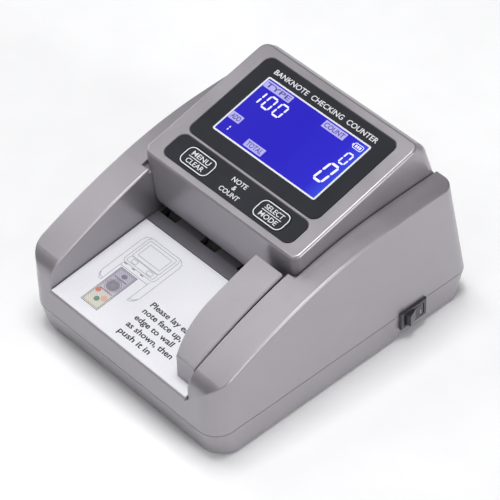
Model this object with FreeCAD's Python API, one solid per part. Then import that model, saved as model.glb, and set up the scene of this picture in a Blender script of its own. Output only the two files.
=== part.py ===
import FreeCAD, Part
import math
import os

os.makedirs("parts", exist_ok=True)

V = FreeCAD.Vector

# ---------------------------------------------------------------- overall
HALF_WIDTH = 65.0
FRONT_Y = -80.75
BACK_Y = 82.25
REACH = 140.0
WALL = 2.2
FOOT_PROUD = 1.0
PARTING_Z = 16.0
PARTING_GAP = 0.3
FRONT_CORNER_R = 11.0
BACK_CORNER_R = 8.0
BASE_FLOOR_TOP = 3.2
EDGE_R = 1.0

# the power rocker stands out on the right only, so the set is centred by half of it
ROCKER_TOP_X = 69.0
CENTER_X = (ROCKER_TOP_X - HALF_WIDTH) / 2

# ---------------------------------------------------------------- channel
CHANNEL_HALF = 47.2
CHANNEL_FIT = 0.3
INNER_WALL_HALF = CHANNEL_HALF + WALL
DECK_TOP = 40.1
PLATE_THICK = 2.5
TRAY_TILT = 6.3
TRAY_FRONT_Y = -82.25
TRAY_BACK_Y = -22.5
TRAY_FRONT_TOP = 33.5
TRAY_THICK = 1.6
LABEL_THICK = 0.3
FEED_BACK_Y = 66.0

# ---------------------------------------------------------------- feed train
ROLLER_R = 9.0
ROLLER_PROUD = 1.0
SHAFT_R = 3.0
FEED_Y = -4.0
EXIT_Y = 46.0
SHAFT_Z = DECK_TOP + ROLLER_PROUD - ROLLER_R
ROLLER_X = (12.6, 39.5)
ROLLER_HALF = 3.9
PINCH_R = 6.2
PINCH_GAP = 0.3
PINCH_AXLE_R = 1.5
PINCH_HALF = 3.4
PINCH_Z = DECK_TOP + ROLLER_PROUD + PINCH_GAP + PINCH_R
PULLEY_R = 8.0
MOTOR_PULLEY_R = 5.0
MOTOR_Y = 33.0
MOTOR_Z = 12.4
MOTOR_R = 7.8
RUNNING_FIT = 0.05
CHEEK_X = 50.0
CHEEK_THICK = 1.5

# ---------------------------------------------------------------- display head
HEAD_TILT = 13.8
HEAD_FRONT_Y = -18.1
HEAD_FRONT_Z = 78.8
HEAD_SLOPE_LEN = 80.3
HEAD_HALF = 51.65
HEAD_NARROW = CHANNEL_HALF - CHANNEL_FIT
HEAD_BOTTOM = 44.7
HEAD_WALL = 2.0
TOP_WALL = 2.4
HEAD_SINK = 2.0
REBATE_DEPTH = 2.7
REBATE_GAP = 0.65
HINGE_Y = 61.5
HINGE_Z = 72.5
KNUCKLE_R = 8.5
POCKET_R = 11.0
POCKET_X = 52.3
PIN_R = 2.0
RECESS = 1.2
OVERLAY_THICK = 1.0
PANEL_HALF = 43.1
DISPLAY_V = (20.9, 75.6)
KEYPAD_V = (4.3, 18.9)
SCREEN_V = (28.9, 66.7)
SCREEN_HALF = 34.3
KEY_X = 24.9
KEY_V = 11.3
KEY_SIZE = (19.0, 10.9)
KEY_R = 3.8

# ---------------------------------------------------------------- switch, guide
SWITCH_Y = 43.1
SWITCH_Z = 12.4
BEZEL_SIZE = (16.7, 10.4)
BEZEL_THICK = 1.5
GUIDE_PIN_Y = (-50.0, -31.0)
GUIDE_PIN_Z = 45.0


# ---------------------------------------------------------------- helpers
def save(name, shape):
    moved = shape.copy()
    moved.translate(V(-CENTER_X, 0, 0))
    moved.exportStep("parts/" + name + ".step")


def box(x0, x1, y0, y1, z0, z1):
    return Part.makeBox(x1 - x0, y1 - y0, z1 - z0, V(x0, y0, z0))


def rod_x(radius, x0, x1, y, z):
    return Part.makeCylinder(radius, x1 - x0, V(x0, y, z), V(1, 0, 0))


def rod_y(radius, y0, y1, x, z):
    return Part.makeCylinder(radius, y1 - y0, V(x, y0, z), V(0, 1, 0))


def rod_z(radius, z0, z1, x, y):
    return Part.makeCylinder(radius, z1 - z0, V(x, y, z0), V(0, 0, 1))


def join(shapes):
    result = shapes[0]
    if len(shapes) > 1:
        result = shapes[0].fuse(shapes[1:])
    return result.removeSplitter()


def group(shapes):
    return Part.makeCompound(shapes)


def outline(x0, x1, y0, y1, front_r, back_r, z):
    """Closed rectangle with rounded corners, level at height z."""
    c = math.sqrt(0.5)
    spots = [
        (x1 - front_r, y0 + front_r, front_r, 1, -1),
        (x1 - back_r, y1 - back_r, back_r, 1, 1),
        (x0 + back_r, y1 - back_r, back_r, -1, 1),
        (x0 + front_r, y0 + front_r, front_r, -1, -1),
    ]
    arcs = []
    for index, (cx, cy, r, sx, sy) in enumerate(spots):
        along_y = V(cx, cy + sy * r, z)
        along_x = V(cx + sx * r, cy, z)
        middle = V(cx + sx * r * c, cy + sy * r * c, z)
        first, last = (along_y, along_x) if index % 2 == 0 else (along_x, along_y)
        arcs.append((first, middle, last))
    edges = []
    for index, (first, middle, last) in enumerate(arcs):
        edges.append(Part.Arc(first, middle, last).toShape())
        edges.append(Part.makeLine(last, arcs[(index + 1) % 4][0]))
    return Part.Wire(edges)


def rounded_plate(x0, x1, y0, y1, r, z0, z1):
    face = Part.Face(outline(x0, x1, y0, y1, r, r, z0))
    return face.extrude(V(0, 0, z1 - z0))


def prism_x(points, half):
    """Side-view polygon of (y, z) points, carried from -half to +half in x."""
    ring = [V(-half, y, z) for y, z in points]
    face = Part.Face(Part.makePolygon(ring + [ring[0]]))
    return face.extrude(V(2 * half, 0, 0))


def on_head(shape):
    """Places a shape drawn flat (x, distance up the slope, height) on the head's top."""
    placed = shape.copy()
    placed.rotate(V(0, 0, 0), V(1, 0, 0), HEAD_TILT)
    placed.translate(V(0, HEAD_FRONT_Y, HEAD_FRONT_Z))
    return placed


def tray_top(y):
    return TRAY_FRONT_TOP + (y - TRAY_FRONT_Y) * math.tan(math.radians(TRAY_TILT))


def head_top(y):
    return HEAD_FRONT_Z + (y - HEAD_FRONT_Y) * math.tan(math.radians(HEAD_TILT))


def near_edges(shape, test):
    """Edges whose every sampled point passes the test."""
    chosen = []
    for edge in shape.Edges:
        first, last = edge.ParameterRange
        points = [edge.valueAt(first + (last - first) * step / 4) for step in range(5)]
        if edge.Length > 0.1 and all(test(p) for p in points):
            chosen.append(edge)
    return chosen


def tube_loop(y_a, z_a, r_a, y_b, z_b, r_b, gap, thick, x0, x1):
    """Belt round two pulleys, with a small clearance on both."""
    angle = math.atan2(z_b - z_a, y_b - y_a)
    span = math.hypot(y_b - y_a, z_b - z_a)
    loops = []
    for extra in (gap, gap + thick):
        ra = r_a + extra
        rb = r_b + extra
        lean = math.acos((ra - rb) / span)
        a1 = V(x0, y_a + ra * math.cos(angle + lean), z_a + ra * math.sin(angle + lean))
        a2 = V(x0, y_a + ra * math.cos(angle - lean), z_a + ra * math.sin(angle - lean))
        b1 = V(x0, y_b + rb * math.cos(angle + lean), z_b + rb * math.sin(angle + lean))
        b2 = V(x0, y_b + rb * math.cos(angle - lean), z_b + rb * math.sin(angle - lean))
        a_far = V(x0, y_a - ra * math.cos(angle), z_a - ra * math.sin(angle))
        b_far = V(x0, y_b + rb * math.cos(angle), z_b + rb * math.sin(angle))
        wire = Part.Wire([
            Part.Arc(a1, a_far, a2).toShape(),
            Part.makeLine(a2, b2),
            Part.Arc(b2, b_far, b1).toShape(),
            Part.makeLine(b1, a1),
        ])
        loops.append(Part.Face(wire).extrude(V(x1 - x0, 0, 0)))
    return loops[1].cut(loops[0])


# ---------------------------------------------------------------- side profile
# top line of the arms and shoulders: (y, z) and the heading there in degrees, nose to back;
# each piece is the arc that leaves one point along its heading and meets the next
ARM_LINE = [(FRONT_Y, 38.0), (-74.66, 47.75), (-20.0, 68.3), (30.0, 75.9), (71.2, 76.4)]


def heading_arcs(points, heading):
    """Smooth chain of arcs through the points, and the heading at its end."""
    edges = []
    for (y0, z0), (y1, z1) in zip(points, points[1:]):
        chord = math.atan2(z1 - z0, y1 - y0)
        bend = chord - heading
        length = math.hypot(y1 - y0, z1 - z0)
        sag = 0.5 * length * math.tan(bend / 2)
        middle = V(0, (y0 + y1) / 2 + sag * math.sin(chord), (z0 + z1) / 2 - sag * math.cos(chord))
        edges.append(Part.Arc(V(0, y0, z0), middle, V(0, y1, z1)).toShape())
        heading = chord + bend
    return edges, heading


def below_profile(lift):
    """Everything under the arm line, between -REACH and +REACH."""
    points = [(y, z + lift) for y, z in ARM_LINE]
    edges, heading = heading_arcs(points, math.pi / 2)
    start = V(0, *points[0])
    end = V(0, *points[-1])
    beyond = V(0, REACH, end.z + (REACH - end.y) * math.tan(heading))
    low_back = V(0, REACH, -REACH)
    low_front = V(0, start.y, -REACH)
    edges += [
        Part.makeLine(end, beyond),
        Part.makeLine(beyond, low_back),
        Part.makeLine(low_back, low_front),
        Part.makeLine(low_front, start),
    ]
    face = Part.Face(Part.Wire(edges))
    face.translate(V(-REACH, 0, 0))
    return face.extrude(V(2 * REACH, 0, 0))


# the back leans forward as it rises
BACK_LEAN = 0.1875


def housing_block(inset, bottom):
    high = 90.0 - bottom
    front = Part.Face(outline(
        -HALF_WIDTH + inset, HALF_WIDTH - inset, FRONT_Y + inset, REACH,
        FRONT_CORNER_R - inset, BACK_CORNER_R, bottom)).extrude(V(0, 0, high))
    back_y = BACK_Y - inset + (PARTING_Z - bottom) * BACK_LEAN
    rear = Part.Face(outline(
        -HALF_WIDTH + inset, HALF_WIDTH - inset, -REACH, back_y,
        FRONT_CORNER_R, BACK_CORNER_R - inset, bottom)).extrude(V(0, -BACK_LEAN * high, high))
    return front.common(rear)


def head_rebate(grow):
    """Shallow step in the shoulders that the lower rim of the head sinks into."""
    half = HEAD_HALF + REBATE_GAP + grow
    block = box(-half, half, HEAD_FRONT_Y - REBATE_GAP - grow, REACH, DECK_TOP, REACH)
    return block.cut(below_profile(-REBATE_DEPTH - grow))


# ---------------------------------------------------------------- upper housing
upper_bottom = PARTING_Z + PARTING_GAP
outer = housing_block(0.0, upper_bottom).common(below_profile(0.0))


def on_arm_side(half):
    def test(p):
        return abs(abs(p.x) - half) < 0.02 and p.z > DECK_TOP + 1.0
    return test


# soft bright edge along the outside of the arm tops
outer = outer.makeFillet(EDGE_R, near_edges(outer, on_arm_side(HALF_WIDTH)))
inner = housing_block(WALL, upper_bottom - 1.0).common(below_profile(-WALL - 0.3))

SEAT_DROP = TRAY_THICK + LABEL_THICK + 0.1


def seat(y, drop):
    return tray_top(y) - SEAT_DROP - drop


FEED_FRONT_Y = TRAY_BACK_Y + 0.3
PLATE_SEAT = DECK_TOP - PLATE_THICK - 0.05
channel = prism_x([
    (-REACH, seat(-REACH, 0.0)), (FEED_FRONT_Y, seat(FEED_FRONT_Y, 0.0)),
    (FEED_FRONT_Y, PLATE_SEAT), (FEED_BACK_Y + 0.2, PLATE_SEAT), (FEED_BACK_Y + 0.2, DECK_TOP),
    (REACH, DECK_TOP), (REACH, REACH), (-REACH, REACH),
], CHANNEL_HALF)
walls_keep = prism_x([
    (-REACH, seat(-REACH, WALL)), (FEED_FRONT_Y, seat(FEED_FRONT_Y, WALL)),
    (FEED_FRONT_Y, PLATE_SEAT - WALL), (FEED_BACK_Y - 2.0, PLATE_SEAT - WALL),
    (FEED_BACK_Y - 2.0, DECK_TOP - WALL), (REACH, DECK_TOP - WALL), (REACH, REACH), (-REACH, REACH),
], INNER_WALL_HALF)
LEDGE_X = 46.2
train_opening = box(-LEDGE_X, LEDGE_X, FEED_FRONT_Y + 1.5, FEED_BACK_Y - 2.0, PARTING_Z, PLATE_SEAT + 1)

POST_SPOTS = [(sx * 56.0, y) for sx in (-1, 1) for y in (-62.0, 64.0)]
POST_R = 4.0
PILOT_R = 1.3
HINGE_BOSS_X = 59.0
cavity = inner.cut(walls_keep).cut(head_rebate(WALL))
for x, y in POST_SPOTS:
    cavity = cavity.cut(rod_z(POST_R, PARTING_Z, 90.0, x, y))
for side in (-1, 1):
    x0 = min(side * CHANNEL_HALF, side * HINGE_BOSS_X)
    x1 = max(side * CHANNEL_HALF, side * HINGE_BOSS_X)
    cavity = cavity.cut(rod_x(POCKET_R + WALL, x0, x1, HINGE_Y, HINGE_Z))
upper = outer.cut(channel)
upper = upper.makeFillet(EDGE_R, near_edges(upper, on_arm_side(CHANNEL_HALF)))
upper = upper.cut(cavity).cut(train_opening)

cuts = [head_rebate(0.0)]
for x, y in POST_SPOTS:
    cuts.append(rod_z(PILOT_R, PARTING_Z, 27.0, x, y))
cuts.append(rod_x(POCKET_R, -POCKET_X, POCKET_X, HINGE_Y, HINGE_Z))
cuts.append(rod_x(PIN_R + RUNNING_FIT, -HINGE_BOSS_X + 1.0, HINGE_BOSS_X - 1.0, HINGE_Y, HINGE_Z))
BUSH_R = 3.2
for y in GUIDE_PIN_Y:
    cuts.append(rod_x(BUSH_R, CHANNEL_HALF - 1, INNER_WALL_HALF + 1, y, GUIDE_PIN_Z))
SWITCH_BODY = (13.8, 8.2)
switch_cut = box(
    HALF_WIDTH - 8, HALF_WIDTH + 4, SWITCH_Y - SWITCH_BODY[0] / 2 - 0.2, SWITCH_Y + SWITCH_BODY[0] / 2 + 0.2,
    SWITCH_Z - SWITCH_BODY[1] / 2 - 0.2, SWITCH_Z + SWITCH_BODY[1] / 2 + 0.2)
cuts.append(switch_cut)
upper = upper.cut(cuts)
save("upper_housing", upper)

# ---------------------------------------------------------------- lower base
BASE_INSET = (0.6, 3.4, 4.4)


def base_block(inset, z0, z1):
    side, front, back = BASE_INSET
    low = outline(
        -HALF_WIDTH + side + inset, HALF_WIDTH - side - inset, FRONT_Y + front + inset, BACK_Y - back - inset,
        FRONT_CORNER_R - inset, BACK_CORNER_R - inset, z0)
    high = outline(
        -HALF_WIDTH + inset, HALF_WIDTH - inset, FRONT_Y + inset, BACK_Y - inset,
        FRONT_CORNER_R - inset, BACK_CORNER_R - inset, z1)
    return Part.makeLoft([low, high], True, True)


base = base_block(0.0, FOOT_PROUD, PARTING_Z)
low_edges = near_edges(base, lambda p: abs(p.z - FOOT_PROUD) < 0.01)
base = base.makeFillet(2.0, low_edges)
base = base.cut(base_block(WALL, BASE_FLOOR_TOP, PARTING_Z + 0.01))
BOSS_R = 5.0
solids = [base]
for x, y in POST_SPOTS:
    solids.append(rod_z(BOSS_R, FOOT_PROUD + 0.5, PARTING_Z, x, y))
FRAME_SPOTS = [(-46.0, -14.0), (46.0, -14.0), (-46.0, 56.0), (46.0, 56.0)]
FRAME_Z = 20.0
for x, y in FRAME_SPOTS:
    solids.append(rod_z(3.0, BASE_FLOOR_TOP - 0.5, FRAME_Z, x, y))
BOARD_X = (-10.0, 41.0)
BOARD_Y = (-10.0, 73.0)
BOARD_Z = 5.2
BOARD_SPOTS = [(x, y) for x in (-6.0, 37.0) for y in (-6.0, 62.0)]
for x, y in BOARD_SPOTS:
    solids.append(rod_z(2.5, BASE_FLOOR_TOP - 0.5, BOARD_Z, x, y))
base = join(solids)

HEAD_SINK_R = 3.2
HEAD_SINK_Z = 6.0
FOOT_R = 6.0
FOOT_SINK = 1.2
BATTERY_DOOR = (-37.0, 37.0, -66.0, -28.0)
cuts = []
for x, y in POST_SPOTS:
    cuts.append(rod_z(1.7, 0.0, PARTING_Z + 1, x, y))
    cuts.append(rod_z(HEAD_SINK_R, 0.0, HEAD_SINK_Z, x, y))
FOOT_SPOTS = [(sx * 44.0, y) for sx in (-1, 1) for y in (-66.0, 66.0)]
for x, y in FOOT_SPOTS:
    cuts.append(rod_z(FOOT_R + 0.1, 0.0, FOOT_PROUD + FOOT_SINK, x, y))
bx0, bx1, by0, by1 = BATTERY_DOOR
cuts.append(rounded_plate(bx0, bx1, by0, by1, 3.0, 0.0, BASE_FLOOR_TOP + 1))
cuts.append(switch_cut)
INLET_X = 24.0
INLET_HALF = 4.7
INLET_Z = BOARD_Z + 1.6
INLET_BORE_Z = 11.3
INLET_FACE_Y = 79.3
cuts.append(box(
    INLET_X - INLET_HALF, INLET_X + INLET_HALF, BACK_Y - 8, BACK_Y + 2, INLET_Z - 0.2, PARTING_Z + 2))
base = base.cut(cuts)
save("lower_base", base)

# ---------------------------------------------------------------- tray and feed plate
TRAY_HALF = CHANNEL_HALF - 0.2


def tray_slab(half, top_drop, thick, front_y):
    return prism_x([
        (front_y, tray_top(front_y) - top_drop - thick), (TRAY_BACK_Y, tray_top(TRAY_BACK_Y) - top_drop - thick),
        (TRAY_BACK_Y, tray_top(TRAY_BACK_Y) - top_drop), (front_y, tray_top(front_y) - top_drop),
    ], half)


tray = tray_slab(TRAY_HALF, LABEL_THICK, TRAY_THICK, TRAY_FRONT_Y)
lip_edges = near_edges(tray, lambda p: abs(p.y - TRAY_FRONT_Y) < 0.02 and p.z > TRAY_FRONT_TOP - 1.0)
tray = tray.makeFillet(0.6, lip_edges)
save("tray_plate", tray)
save("tray_label", tray_slab(TRAY_HALF - 0.4, 0.0, LABEL_THICK, TRAY_FRONT_Y + 0.9))

feed = box(-HEAD_NARROW, HEAD_NARROW, FEED_FRONT_Y + 0.1, FEED_BACK_Y, DECK_TOP - PLATE_THICK, DECK_TOP)
SLOT_FRONT = -14.7
SLOT_HALF = 8.0
SLOT_BACK = FEED_Y + SLOT_HALF
SENSOR_Y = (12.0, 26.0)
WINDOW_HALF = 40.0
slots = [box(-WINDOW_HALF, WINDOW_HALF, SENSOR_Y[0] + 1.5, SENSOR_Y[1] - 1.5, PLATE_SEAT, DECK_TOP + 1)]
for side in (-1, 1):
    inner_x, outer_x = ROLLER_X
    for x0, x1 in ((inner_x - 5.2, inner_x + 5.2), (outer_x - 4.6, outer_x + 6.6)):
        low = min(side * x0, side * x1)
        high = max(side * x0, side * x1)
        slots.append(box(low, high, SLOT_FRONT, SLOT_BACK, 30.0, DECK_TOP + 1))
        slots.append(box(low, high, EXIT_Y - SLOT_HALF, EXIT_Y + SLOT_HALF, 30.0, DECK_TOP + 1))
feed = feed.cut(slots)
save("feed_plate", feed)

# ---------------------------------------------------------------- guide
GUIDE_NOSE_Y = -75.6
GUIDE_BACK_Y = -20.6
GUIDE_WALL = 2.0
GUIDE_LIFT = 0.5
GUIDE_RIGHT = (46.8, 46.2)
GUIDE_LEFT = 28.4
# the left side is straight at the back and curves in to the nose, so that a note slips in easily
LEAD_Y = -50.0
LEAD_R = 52.9


def guide_solid(inset, top_inset, floor):
    nose_y = GUIDE_NOSE_Y + inset
    back_y = GUIDE_BACK_Y - inset

    def lead(y):
        return V(GUIDE_LEFT + LEAD_R - math.sqrt((LEAD_R - inset) ** 2 - (y - LEAD_Y) ** 2), y, 0)

    nose_right = V(GUIDE_RIGHT[0] - inset, nose_y, 0)
    back_right = V(GUIDE_RIGHT[1] - inset, back_y, 0)
    back_left = V(GUIDE_LEFT + inset, back_y, 0)
    outline_edges = [
        Part.makeLine(nose_right, back_right), Part.makeLine(back_right, back_left),
        Part.makeLine(back_left, lead(LEAD_Y)),
        Part.Arc(lead(LEAD_Y), lead((LEAD_Y + nose_y) / 2), lead(nose_y)).toShape(),
        Part.makeLine(lead(nose_y), nose_right),
    ]
    block = Part.Face(Part.Wire(outline_edges)).extrude(V(0, 0, REACH))
    above = prism_x([
        (-REACH, tray_top(-REACH) + floor), (REACH, tray_top(REACH) + floor), (REACH, REACH), (-REACH, REACH),
    ], REACH)
    return block.common(above).common(below_profile(-top_inset))


guide = guide_solid(0.0, 0.0, GUIDE_LIFT)


def on_guide_top(p):
    return 45.5 < p.x < 47.0 and p.z > tray_top(p.y) + 6.0 and GUIDE_NOSE_Y + 0.4 < p.y < GUIDE_BACK_Y - 0.2


top_edges = [e for e in guide.Edges if on_guide_top(e.valueAt(sum(e.ParameterRange) / 2)) and e.Length > 4.0]
guide = guide.makeChamfer(0.9, top_edges)
guide = guide.cut(guide_solid(GUIDE_WALL, GUIDE_WALL + 0.4, GUIDE_LIFT - 1.0))
GUIDE_PIN_START = 35.5
pieces = [guide]
for y in GUIDE_PIN_Y:
    pieces.append(rod_x(3.6, 34.5, 45.6, y, GUIDE_PIN_Z))
guide = join(pieces)
guide = guide.cut([rod_x(PIN_R, GUIDE_PIN_START, HALF_WIDTH, y, GUIDE_PIN_Z) for y in GUIDE_PIN_Y])
save("guide_block", guide)
save("guide_pins", group([rod_x(PIN_R, GUIDE_PIN_START, 61.0, y, GUIDE_PIN_Z) for y in GUIDE_PIN_Y]))
bushes = []
for y in GUIDE_PIN_Y:
    bush = rod_x(BUSH_R - 0.02, CHANNEL_HALF + 0.1, INNER_WALL_HALF + 2.4, y, GUIDE_PIN_Z)
    bush = bush.fuse(rod_x(BUSH_R + 1.2, INNER_WALL_HALF + 0.05, INNER_WALL_HALF + 1.2, y, GUIDE_PIN_Z))
    bushes.append(bush.cut(rod_x(PIN_R + RUNNING_FIT, CHANNEL_HALF - 1, HALF_WIDTH, y, GUIDE_PIN_Z)))
save("guide_bushes", group(bushes))

# ---------------------------------------------------------------- base fittings
FOOT_TOP = FOOT_PROUD + FOOT_SINK
feet = []
for x, y in FOOT_SPOTS:
    foot = rod_z(FOOT_R, 0.0, FOOT_TOP, x, y)
    feet.append(foot.makeFillet(0.4, near_edges(foot, lambda p: p.z < 0.01)))
save("rubber_feet", group(feet))

screws = []
for x, y in POST_SPOTS:
    head = rod_z(2.8, HEAD_SINK_Z - 2.0, HEAD_SINK_Z, x, y)
    slot = box(x - 0.4, x + 0.4, y - 2.0, y + 2.0, HEAD_SINK_Z - 2.0, HEAD_SINK_Z - 1.1)
    cross = box(x - 2.0, x + 2.0, y - 0.4, y + 0.4, HEAD_SINK_Z - 2.0, HEAD_SINK_Z - 1.1)
    shank = rod_z(PILOT_R - 0.02, HEAD_SINK_Z, 25.0, x, y)
    screws.append(head.fuse(shank).cut([slot, cross]))
save("base_screws", group(screws))

door = rounded_plate(bx0 + 0.3, bx1 - 0.3, by0 + 0.3, by1 - 0.3, 2.7, FOOT_PROUD, BASE_FLOOR_TOP)
grooves = [box(-8.0, 8.0, y, y + 0.8, FOOT_PROUD - 1, FOOT_PROUD + 0.5) for y in (-36.0, -34.0, -32.0)]
save("battery_door", door.cut(grooves))
battery = rounded_plate(-33.0, 33.0, -63.0, -31.0, 4.0, BASE_FLOOR_TOP + 0.5, 17.0)
save("battery_pack", battery)

# ---------------------------------------------------------------- boards in the base
board = box(BOARD_X[0], BOARD_X[1], BOARD_Y[0], BOARD_Y[1], BOARD_Z, BOARD_Z + 1.6)
board = board.cut([rod_z(1.2, 0.0, 20.0, x, y) for x, y in BOARD_SPOTS])
save("main_board", board)
ON_BOARD = BOARD_Z + 1.6
chips = [
    box(8.0, 22.0, 4.0, 18.0, ON_BOARD, ON_BOARD + 1.8),
    box(4.0, 10.0, 28.0, 34.0, ON_BOARD, ON_BOARD + 1.5),
    box(16.0, 30.0, 30.0, 36.0, ON_BOARD, ON_BOARD + 5.5),
    box(-4.0, 3.0, 44.0, 60.0, ON_BOARD, ON_BOARD + 5.0),
    rod_z(3.9, ON_BOARD, ON_BOARD + 8.0, 32.0, 48.0),
    rod_z(3.9, ON_BOARD, ON_BOARD + 8.0, 22.0, 48.0),
    rod_z(2.4, ON_BOARD, ON_BOARD + 6.0, 12.0, 56.0),
]
save("board_parts", group(chips))

inlet = box(INLET_X - 4.5, INLET_X + 4.5, 68.5, INLET_FACE_Y, ON_BOARD, PARTING_Z - 0.2)
inlet = inlet.cut(rod_y(2.75, 71.0, BACK_Y, INLET_X, INLET_BORE_Z))
inlet = inlet.fuse(rod_y(1.0, 70.0, INLET_FACE_Y - 1.0, INLET_X, INLET_BORE_Z))
save("dc_inlet", inlet)

# ---------------------------------------------------------------- transport frame and drive
FRAME_TOP = 36.0
FRAME_Y = (-18.0, 60.0)
FRAME_SHEET = 1.5
frame_parts = []
for side in (-1, 1):
    x0 = min(side * CHEEK_X, side * (CHEEK_X + CHEEK_THICK))
    frame_parts.append(box(x0, x0 + CHEEK_THICK, FRAME_Y[0], FRAME_Y[1], FRAME_Z, FRAME_TOP))
for y0, y1 in ((FRAME_Y[0], -10.0), (52.0, FRAME_Y[1])):
    frame_parts.append(box(-CHEEK_X, CHEEK_X, y0, y1, FRAME_Z, FRAME_Z + FRAME_SHEET))
frame_parts.append(box(-CHEEK_X - CHEEK_THICK, -CHEEK_X, MOTOR_Y - 11, MOTOR_Y + 11, 4.2, FRAME_Z))
frame = join(frame_parts)
BUSHING_R = 4.0
cuts = []
for y in (FEED_Y, EXIT_Y):
    cuts.append(rod_x(BUSHING_R, -CHEEK_X - 3, CHEEK_X + 3, y, SHAFT_Z))
cuts.append(rod_x(4.0, -CHEEK_X - 3, -CHEEK_X + 3, MOTOR_Y, MOTOR_Z))
frame = frame.cut(cuts)
save("transport_frame", frame)

bushings = []
for y in (FEED_Y, EXIT_Y):
    for side in (-1, 1):
        inner_x = side * (CHEEK_X - 0.3)
        outer_x = side * (CHEEK_X + CHEEK_THICK + 0.4)
        ring = rod_x(BUSHING_R - 0.02, min(inner_x, outer_x), max(inner_x, outer_x), y, SHAFT_Z)
        bushings.append(ring.cut(rod_x(SHAFT_R + RUNNING_FIT, -REACH, REACH, y, SHAFT_Z)))
save("shaft_bushings", group(bushings))

MOTOR_X = (-CHEEK_X + 0.1, -15.0)
motor = rod_x(MOTOR_R, MOTOR_X[0], MOTOR_X[1], MOTOR_Y, MOTOR_Z)
motor = motor.fuse(rod_x(3.8, MOTOR_X[0] - 2.2, MOTOR_X[0], MOTOR_Y, MOTOR_Z))
motor = motor.cut(rod_x(1.55, MOTOR_X[0] - 3, MOTOR_X[0] + 12, MOTOR_Y, MOTOR_Z))
save("motor_body", motor)
BELT_X = ((-56.4, -53.2), (-60.6, -57.4))
save("motor_shaft", rod_x(1.5, -61.0, MOTOR_X[0] + 10, MOTOR_Y, MOTOR_Z))


def pulley(radius, x0, x1, y, z, bore):
    rim = rod_x(radius, x0, x1, y, z)
    flanges = [rod_x(radius + 1.0, x0 - 0.5, x0 - 0.1, y, z), rod_x(radius + 1.0, x1 + 0.1, x1 + 0.5, y, z)]
    hub = rod_x(radius, x0 - 0.5, x1 + 0.5, y, z)
    return join([rim, hub] + flanges).cut(rod_x(bore, x0 - 2, x1 + 2, y, z))


motor_pulley = join([pulley(MOTOR_PULLEY_R, x0, x1, MOTOR_Y, MOTOR_Z, 1.5) for x0, x1 in BELT_X])
save("motor_pulley", motor_pulley)
save("feed_pulley", pulley(PULLEY_R, BELT_X[0][0], BELT_X[0][1], FEED_Y, SHAFT_Z, SHAFT_R))
save("exit_pulley", pulley(PULLEY_R, BELT_X[1][0], BELT_X[1][1], EXIT_Y, SHAFT_Z, SHAFT_R))
BELT_GAP = 0.3
BELT_THICK = 1.0
for name, train_y, (x0, x1) in (("feed_belt", FEED_Y, BELT_X[0]), ("exit_belt", EXIT_Y, BELT_X[1])):
    save(name, tube_loop(
        MOTOR_Y, MOTOR_Z, MOTOR_PULLEY_R, train_y, SHAFT_Z, PULLEY_R, BELT_GAP, BELT_THICK, x0 + 0.2, x1 - 0.2))

save("feed_shaft", rod_x(SHAFT_R, BELT_X[0][0] - 1.2, 57.0, FEED_Y, SHAFT_Z))
save("exit_shaft", rod_x(SHAFT_R, BELT_X[1][0] - 0.6, 53.0, EXIT_Y, SHAFT_Z))


def roller_set(radius, bore, half, centres, y, z):
    rollers = []
    for centre in centres:
        for side in (-1, 1):
            x = side * centre
            roller = rod_x(radius, x - half, x + half, y, z)
            roller = roller.cut(rod_x(bore, x - half - 1, x + half + 1, y, z))
            rollers.append(roller)
    return group(rollers)


save("feed_rollers", roller_set(ROLLER_R, SHAFT_R, ROLLER_HALF, ROLLER_X, FEED_Y, SHAFT_Z))
save("exit_rollers", roller_set(ROLLER_R, SHAFT_R, ROLLER_HALF, ROLLER_X, EXIT_Y, SHAFT_Z))

ENCODER_X = 54.6
disc = rod_x(8.5, ENCODER_X, ENCODER_X + 0.8, FEED_Y, SHAFT_Z)
slit = box(ENCODER_X - 1, ENCODER_X + 2, FEED_Y - 0.6, FEED_Y + 0.6, SHAFT_Z + 5.6, SHAFT_Z + 7.6)
slits = []
for step in range(12):
    turned = slit.copy()
    turned.rotate(V(0, FEED_Y, SHAFT_Z), V(1, 0, 0), step * 30.0)
    slits.append(turned)
disc = disc.fuse(rod_x(5.0, ENCODER_X + 0.8, ENCODER_X + 2.2, FEED_Y, SHAFT_Z))
save("encoder_disc", disc.cut(slits + [rod_x(SHAFT_R, 50.0, 60.0, FEED_Y, SHAFT_Z)]))
fork = box(CHEEK_X + CHEEK_THICK + 0.1, 58.0, FEED_Y - 3.5, FEED_Y + 3.5, 20.5, 26.6)
fork = fork.cut(box(ENCODER_X - 0.8, ENCODER_X + 1.6, FEED_Y - 5, FEED_Y + 5, 22.6, 30.0))
save("encoder_sensor", fork)

lower_bar = box(-43.0, 43.0, SENSOR_Y[0], SENSOR_Y[1], 26.0, DECK_TOP - PLATE_THICK - 0.1)
save("lower_sensor_bar", lower_bar)
GLASS_HALF = WINDOW_HALF - 0.2
save("lower_sensor_glass", box(
    -GLASS_HALF, GLASS_HALF, SENSOR_Y[0] + 1.7, SENSOR_Y[1] - 1.7, DECK_TOP - PLATE_THICK - 0.05, DECK_TOP - 0.1))

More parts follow.
